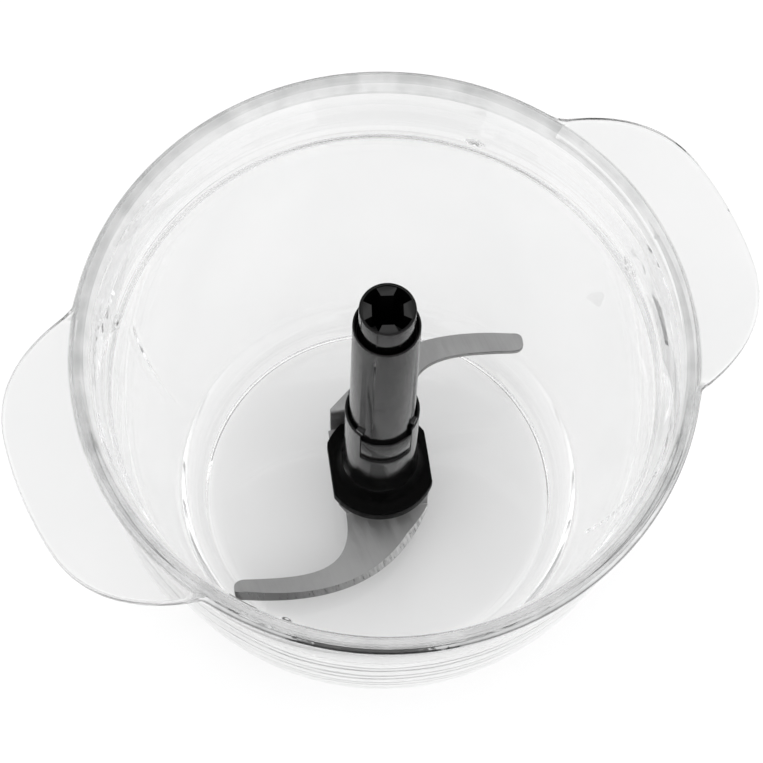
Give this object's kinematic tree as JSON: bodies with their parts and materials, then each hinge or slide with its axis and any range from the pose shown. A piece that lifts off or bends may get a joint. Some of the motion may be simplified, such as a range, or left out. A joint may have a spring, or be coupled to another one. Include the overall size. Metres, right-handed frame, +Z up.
{
  "type": "food processor bowl with blade unit",
  "caption": "Clear glass food-processor bowl with two tab handles and a lift-out black S-blade unit that spins on a steel pin in its floor.",
  "frame": {"origin": "centre of the foot ring's underside, on the bowl's axis", "axes": "+Z up along the bowl's axis, +X through the middle of one tab handle"},
  "size_m": [0.2206, 0.18, 0.1468],
  "materials": {
    "glass": "clear fire-polished glass",
    "steel": "turned stainless steel",
    "blade_steel": "satin sheet with a ground edge",
    "black_gloss": "polished black moulding",
    "black_matte": "fine spark-eroded texture",
    "rubber": "matt black seal rubber",
    "bearing_plastic": "natural acetal"
  },
  "bodies": {
    "root": {"glass_bowl": "glass", "centre_pin": "steel", "upper_gasket": "rubber", "lower_gasket": "rubber", "clamp_washer": "steel", "lock_washer": "steel", "pin_nut": "steel", "nut_cap": "black_matte"},
    "bearing": {"bearing_sleeve": "bearing_plastic", "thrust_washer": "bearing_plastic"},
    "blade_unit": {"s_blade": "blade_steel", "blade_carrier": "black_gloss", "clamp_plate": "black_matte", "clamp_screw_left": "steel", "clamp_screw_right": "steel", "tube_seal": "rubber", "hub_tube": "black_gloss", "pin_cap": "bearing_plastic", "drive_socket": "black_gloss", "socket_seal": "rubber"}
  },
  "joints": [
    {"name": "blade_lift", "type": "slide", "parent": "root", "child": "bearing", "axis": [0, 0, 1], "range_m": [0, 0.13]},
    {"name": "blade_spin", "type": "hinge", "parent": "bearing", "child": "blade_unit", "pos_m": [0, 0, 0.05], "axis": [0, 0, 1], "continuous": true}
  ]
}
